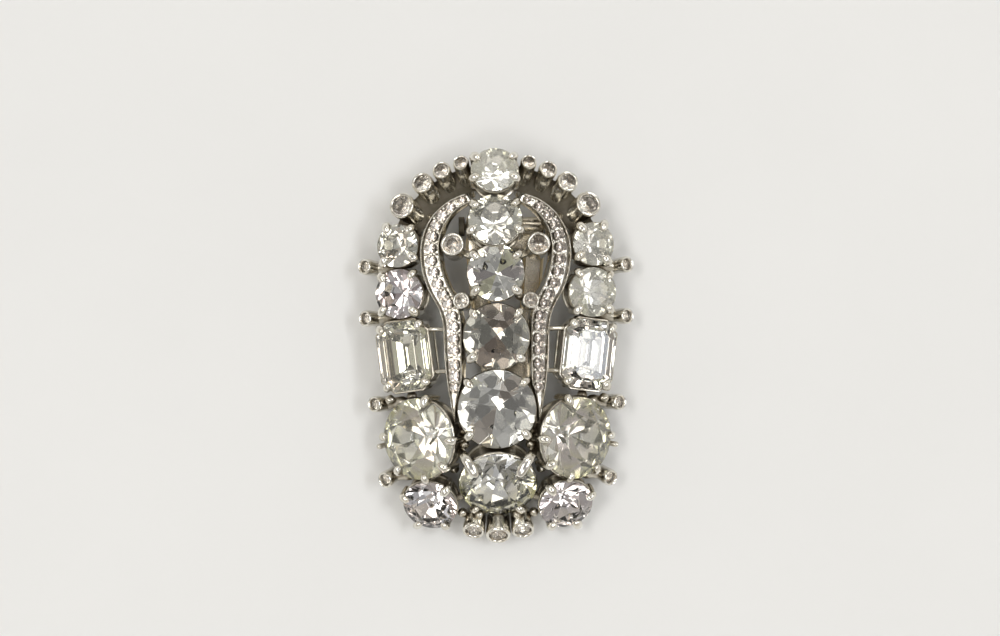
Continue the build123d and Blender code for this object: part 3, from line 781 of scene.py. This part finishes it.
stoneLook = dict(worn=0.035, wornSmall=0.02, offCentre=(0.03, 0.09), foilFacing=-0.12)
otherFoil = dict(side_stone_1_right="pale", side_stone_2_right="pale", side_stone_2_left="rosy")
wornGlass = dict(column_stone_1="milky", column_stone_2="misty", side_stone_1_right="milky",
                 side_stone_1_left="misty", side_stone_2_right="milky", side_stone_4_right="misty",
                 side_stone_4_left="misty", step_stone_left="misty")
pavePlaces = {}


def handCut(edit, place, dice, fixed):                # turned in its setting, the point a little off centre
    turned = 0 if fixed else dice.uniform(0, 2 * math.pi)
    away, off = dice.uniform(*stoneLook["offCentre"]), dice.uniform(0, 2 * math.pi)
    spin = place @ Matrix.Rotation(turned, 4, "Z")
    back = place.inverted()
    for vert in edit.verts:
        p = back @ (vert.co / mm)
        low = max(-p.z, 0) * away
        vert.co = spin @ (p + Vector((math.cos(off), math.sin(off), 0)) * low) * mm


def cutStone(node, place, foil, glass, worn, seed):
    edit = weldedCopy(node)
    if node.startswith("pave"):
        side = 1 if node.endswith("right") else -1
        pavePlaces[side] = filledBand(edit, side)
    wholeFacets(edit)
    bmesh.ops.bevel(edit, geom=edit.edges[:], offset=worn * mm, segments=1, profile=0.5, affect="EDGES",
                    clamp_overlap=True)
    bmesh.ops.recalc_face_normals(edit, faces=edit.faces)
    front = place.to_3x3() @ Vector((0, 0, 1))
    dice = random.Random(seed)
    if not node.startswith("pave"):
        handCut(edit, place, dice, node.startswith("step"))
    shade = edit.faces.layers.float.new("facetShade")
    deep = edit.verts.layers.float.new("girdleDepth")
    middle = place.translation * mm
    for vert in edit.verts:
        vert[deep] = max(-(vert.co - middle).dot(front) / mm, 0)
    for face in edit.faces:
        face.material_index = 1 if face.normal.dot(front) < stoneLook["foilFacing"] else 0
        face[shade] = dice.random()
        face.smooth = False
    mesh = bpy.data.meshes.new("cut_" + node)
    edit.to_mesh(mesh)
    edit.free()
    mesh.materials.append(glasses[glass])
    mesh.materials.append(foilMaterials[foil])
    piece = linked("cut_" + node, mesh)
    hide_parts(node)
    return finished(piece)


seed = 40
for stone in stones + [dict(stepStone, foil="clear")]:
    for side in sidesOf(stone):
        name = sideName(stone, side)
        foil = otherFoil.get(name, stone["foil"])
        glass = wornGlass.get(name, "clear")
        cutStone(name, standing(stone, side), foil, glass, stoneLook["worn"], seed)
        seed += 1
for cup in cups:
    for side in sidesOf(cup):
        cutStone(sideName(cup, side), standing(cup, side), "warm", "small", stoneLook["wornSmall"],
                 seed)
        seed += 1
for side, node in ((1, "pave_right"), (-1, "pave_left")):
    cutStone(node, standing(bandPlace, side), "sparkling", "small", stoneLook["wornSmall"],
             seed + side)
print("stones cut")


# grains that hold the pave stones

grainLook = dict(radius=0.27, small=0.17, high=-0.02, across=0.74, sway=0.08, slip=0.1, sizes=(0.8, 1.15),
                 fullAt=0.6, lumps=0.07, lumpSize=0.4)
grains = Shape()
seed = 500
for side in (1, -1):
    for (a, ra), (b, rb) in zip(pavePlaces[side], pavePlaces[side][1:]):
        look = grainLook
        way = (b - a).normalized()
        across = Vector((-way.y, way.x))
        wide = min(ra, rb)
        for sign in (1, 0, -1):
            dice = random.Random(seed)
            aside = sign * look["across"] + dice.uniform(-look["sway"], look["sway"])
            along = dice.uniform(-look["slip"], look["slip"])
            spot = (a + b) / 2 + across * wide * aside + way * along
            radius = look["radius"] if sign else look["small"]
            radius *= min(1, wide / look["fullAt"]) * dice.uniform(*look["sizes"])
            points, faces = ball(radius, (35, 70, 105, 140), 8)
            points = lumpy(points, look["lumps"], look["lumpSize"], seed)
            shift = Vector((spot.x, spot.y, look["high"]))
            grains.add([p + shift for p in points], faces, standing(bandPlace, side))
            seed += 1
paveGrains = grains.build("pave_grains", rail, smoothAngle=0)
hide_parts("frame")
print("grains set:", seed - 500)


# plate, bridge and ears, and the struts

plateLook = dict(centreY=11.2, inner=13.4, outer=17.3, endY=13.7, bottom=4.2, thick=1.0, steps=60,
                 bridge=3.0, bridgeLength=24.3, bridgeIn=0.04, drillX=15.8, drillY=15.7, drill=2.7,
                 drillFrom=3.5, drillTo=6.0, bevel=0.12)
clipX, hingeY, hingeZ = 1.5, 18.7, 1.7                # the clip hangs a little right of the middle


def archOutline(radius):
    look = plateLook
    start = math.asin((look["endY"] - look["centreY"]) / radius)
    arc = [start + (math.pi - 2 * start) * k / look["steps"] for k in range(look["steps"] + 1)]
    return [(radius * math.cos(a), look["centreY"] + radius * math.sin(a)) for a in arc]


def archBody():
    bottom, top = plateLook["bottom"], plateLook["bottom"] + plateLook["thick"]
    points = []
    for (ox, oy), (ix, iy) in zip(archOutline(plateLook["outer"]), archOutline(plateLook["inner"])):
        points += [(ox, oy, bottom), (ox, oy, top), (ix, iy, top), (ix, iy, bottom)]
    rows = plateLook["steps"] + 1
    return points, ringFaces(rows, 4) + endFaces(rows, 4)


def block(x0, x1, y0, y1, z0, z1):
    points = [(x, y, z) for x in (x0, x1) for y in (y0, y1) for z in (z0, z1)]
    return points, [[0, 1, 3, 2], [4, 6, 7, 5], [0, 4, 5, 1], [2, 3, 7, 6], [0, 2, 6, 4], [1, 5, 7, 3]]


def drilled(piece, x, y, radius):                     # cut through by an upright drill
    low, high = plateLook["drillFrom"], plateLook["drillTo"]
    points, faces = turnedRing([(0, low), (radius, low), (radius, high), (0, high)], 32)
    drill = Shape()
    drill.add([Vector(p) + Vector((x, y, 0)) for p in points], faces)
    cutter = drill.build("drill", metals["paintedShadePlate"], smoothAngle=0)
    hole = piece.modifiers.new("hole", "BOOLEAN")
    hole.object = cutter
    hole.operation = "DIFFERENCE"
    hole.solver = "EXACT"
    bpy.context.view_layer.update()
    cut = bpy.data.meshes.new_from_object(piece.evaluated_get(bpy.context.evaluated_depsgraph_get()))
    piece.modifiers.remove(hole)
    piece.data = cut
    bpy.data.objects.remove(cutter)


plate = Shape()
plate.add(*archBody())
halfLength, halfWidth, sunk = plateLook["bridgeLength"] / 2, plateLook["bridge"] / 2, plateLook["bridgeIn"]
plate.add(*block(-halfLength, halfLength, hingeY - halfWidth, hingeY + halfWidth,
                 plateLook["bottom"] + sunk, plateLook["bottom"] + plateLook["thick"] - sunk))
# the arch plate and its bridge take the dark plate metal: painted shade
archPlate = plate.build("arch_plate", metals["paintedShadePlate"])
for side in (1, -1):                                  # room for the upper side stones
    drilled(archPlate, plateLook["drillX"] * side, plateLook["drillY"], plateLook["drill"])
roundEdges(archPlate, plateLook["bevel"], harden=False)
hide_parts("frame")

earLook = dict(reach=6.85, halfThick=0.45, bore=0.75, halfWide=1.5, tall=3.0, below=1.42, count=24,
               bevel=0.06)


def ear(x):                                           # a drilled plate, square above the bore and round below
    look, ring = earLook, earLook["count"]
    points, faces = [], []
    turns = [(math.cos(2 * math.pi * k / ring), math.sin(2 * math.pi * k / ring)) for k in range(ring)]
    for px in (x - look["halfThick"], x + look["halfThick"]):
        points += [(px, hingeY + look["bore"] * c, hingeZ + look["bore"] * s) for c, s in turns]
        for c, s in turns:
            away = look["below"]
            if s > 0:
                away = min(look["halfWide"] / max(abs(c), 1e-6), look["tall"] / max(abs(s), 1e-6))
            points.append((px, hingeY + away * c, hingeZ + away * s))
    for k in range(ring):
        j = (k + 1) % ring
        faces += [[k, j, ring + j, ring + k], [2 * ring + j, 2 * ring + k, 3 * ring + k, 3 * ring + j],
                  [ring + k, ring + j, 3 * ring + j, 3 * ring + k], [j, k, 2 * ring + k, 2 * ring + j]]
    return points, faces


ears = Shape()
for x in (clipX - earLook["reach"], clipX + earLook["reach"]):
    ears.add(*ear(x))
# the ears take the same dark plate metal: painted shade by the hinge
clipEars = ears.build("clip_ears", metals["paintedShadePlate"], bevel=earLook["bevel"])
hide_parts("frame")

strutLook = dict(along=(0, 0.18, 0.4, 0.6, 0.82, 1), thick=(1.0, 0.94, 0.84, 0.84, 0.94, 1.0), count=12,
                 lumps=0.06, lumpSize=0.9)
solderLook = dict(lumps=0.22, lumpSize=1.1, count=14)
solderRuns = [                                        # where settings are run together: place and radius
    ((6.3, -14.2, 7.6), 1.0), ((5.2, -15.6, 7.4), 0.9), ((6.9, -19.5, 5.0), 0.9), ((3.0, -26.9, 3.6), 0.9),
    ((7.6, -22.2, 4.4), 0.9), ((5.6, -26.6, 3.2), 0.8), ((9.9, 11.6, 5.6), 0.8), ((12.7, 3.6, 4.6), 0.9),
    ((13.4, -8.0, 4.4), 0.9), ((16.9, -8.6, 4.2), 0.8),
]
rods = Shape()
seed = 900
for place, radius in solderRuns:
    points, faces = ball(radius, (25, 50, 75, 105, 130, 155), solderLook["count"])
    points = [Vector(p) + Vector(place) for p in points]
    points = lumpy(points, solderLook["lumps"], solderLook["lumpSize"], seed)
    for side in (1, -1):
        rods.add(onSide(points, side), faces)
    seed += 1
for start, end, thick in struts:
    start, end = Vector(start), Vector(end)
    path = [start.lerp(end, t) for t in strutLook["along"]]
    radii = [thick * g for g in strutLook["thick"]]
    for side in ((1, -1) if start.x else (1,)):
        points, faces = sweptRod(path, radii, strutLook["count"])
        rods.add(onSide(lumpy(points, strutLook["lumps"], strutLook["lumpSize"], seed), side), faces)
        seed += 1
strutRods = rods.build("struts", silver, smoothAngle=0, subdivide=1)
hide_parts("frame")
print("plate, ears and struts made")


# the clip behind

clipLook = dict(bevel=0.1, rim=0.24, rimHigh=1.12, innerRim=[(3.15, 14.6), (2.7, 8.0), (2.35, 3.0)],
                outerRim=[(6.0, 16.6), (6.0, 14.6), (5.2, 6.0), (4.5, -1.0)])
edit = weldedCopy("clip")
wholeFacets(edit)
clipMesh = bpy.data.meshes.new("sprung_clip")
edit.to_mesh(clipMesh)
edit.free()
clipMesh.materials.append(metals["clipMetal"])
clipMesh.materials.append(metals["wornBrass"])
clipMesh.shade_smooth()
sprungClip = linked("sprung_clip", clipMesh)
# the bevel faces take the brightened brass: a painted highlight along the clip's edges
roundEdges(sprungClip, clipLook["bevel"]).material = 1
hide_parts("clip")
rims = Shape()
for line in (clipLook["outerRim"], clipLook["innerRim"]):        # rods along the clip's edges in worn brass brightened past the clip metal: a painted highlight
    for side in (1, -1):
        path = [(clipX + x * side, y, clipLook["rimHigh"]) for x, y in line]
        rims.add(*sweptRod(path, [clipLook["rim"]] * len(path), 8))
clipRims = rims.build("clip_rims", metals["wornBrass"], smoothAngle=60)
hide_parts("clip")
finished(sprungClip)
print("clip made")


# floor, light and camera

studio = dict(floorColour=(0.80, 0.80, 0.79), floorReach=3.0, mottle=0.985, floorRough=0.85,
              gain=1.2, base=0.33, overhead=0.16, low=0.62, cool=(0.98, 0.97, 0.98), warm=(1.0, 0.96, 0.89),
              behind=(0.86, 0.855, 0.845), panelEdge=0.06)
lightPanels = [                                       # where each stands on a ceiling one unit up
    dict(x=-0.52, y=0.12, halfX=0.17, halfY=0.36, bright=4.3, tint=(1.0, 0.98, 0.94)),
    dict(x=0.71, y=0.1, halfX=0.14, halfY=0.36, bright=7.0, tint=(0.95, 0.97, 1.0)),
    dict(x=0.05, y=0.95, halfX=0.36, halfY=0.16, bright=2.3, tint=(1.0, 0.97, 0.9)),
    dict(x=-0.06, y=-0.52, halfX=0.2, halfY=0.14, bright=3.4, tint=(1.0, 0.99, 0.95)),
]
cameraLook = dict(lens=90.2, sensor=36, x=0.59, y=4.17, height=400, roll=-0.55, nearest=0.01)

floorMesh = bpy.data.meshes.new("floor")
r = studio["floorReach"]
floorMesh.from_pydata([(-r, -r, 0), (r, -r, 0), (r, r, 0), (-r, r, 0)], [], [(0, 1, 2, 3)])
floor = linked("floor", floorMesh)
material, kit = newMaterial("paperFloor")
place = kit.node("ShaderNodeTexCoord")["Object"]
mottle = kit.noise(place, 45, 3, 0.5)
grainy = kit.noise(place, 0.8, 2, 0.5)
shaded = [c * studio["mottle"] for c in studio["floorColour"]]
colour = kit.mix(mottle.rise(0.3, 0.7), studio["floorColour"], shaded)
kit.close({"Base Color": colour, "Roughness": studio["floorRough"], "Normal": kit.bump(0.12, 0.05, grainy)})
floorMesh.materials.append(material)

world = bpy.data.worlds.new("studio")
bpy.context.scene.world = world
world.use_nodes = True
kit = Nodes(world.node_tree)
way = kit.node("ShaderNodeTexCoord")["Generated"]
axes = kit.node("ShaderNodeSeparateXYZ", None, {"Vector": way})
up = axes["Z"].most(0.02)
east, north = axes["X"] / up, axes["Y"] / up           # where a ray meets a ceiling one unit above


def ceilingPanel(panel):                              # a soft-edged lit rectangle overhead
    soft = studio["panelEdge"]
    inX = 1 - (east - panel["x"]).size().rise(panel["halfX"] - soft, panel["halfX"] + soft)
    inY = 1 - (north - panel["y"]).size().rise(panel["halfY"] - soft, panel["halfY"] + soft)
    return inX * inY


away = (east * east + north * north) ** 0.5
dome = studio["overhead"] + away.rise(0.05, 0.2) * (studio["base"] - studio["overhead"])
dome = dome + away.rise(1.2, 3.0) * (studio["low"] - studio["base"])
tint = kit.mix(away.rise(0.2, 1.5), studio["cool"], studio["warm"])
for panel in lightPanels:
    shape = ceilingPanel(panel)
    dome = dome + shape * panel["bright"]
    tint = kit.mix(shape, tint, panel["tint"])
strength = dome * studio["gain"]
lit = kit.node("ShaderNodeBackground", None, {"Color": tint, "Strength": strength})["Background"]
plainColour = (*studio["behind"], 1)
plain = kit.node("ShaderNodeBackground", None, {"Color": plainColour, "Strength": 1.0})["Background"]
seenByCamera = kit.node("ShaderNodeLightPath")["Is Camera Ray"]
surface = kit.node("ShaderNodeMixShader", None, {0: seenByCamera, 1: lit, 2: plain})["Shader"]
kit.node("ShaderNodeOutputWorld", None, {"Surface": surface})

scene = bpy.context.scene
scene.view_settings.view_transform = "Standard"
cameraData = bpy.data.cameras.new("camera")
cameraData.lens = cameraLook["lens"]
cameraData.sensor_width = cameraLook["sensor"]
cameraData.clip_start = cameraLook["nearest"]
camera = linked("camera", cameraData)
camera.location = (cameraLook["x"] * mm, cameraLook["y"] * mm, cameraLook["height"] * mm)
camera.rotation_euler = (0, 0, math.radians(cameraLook["roll"]))
scene.camera = camera
print("stage set")
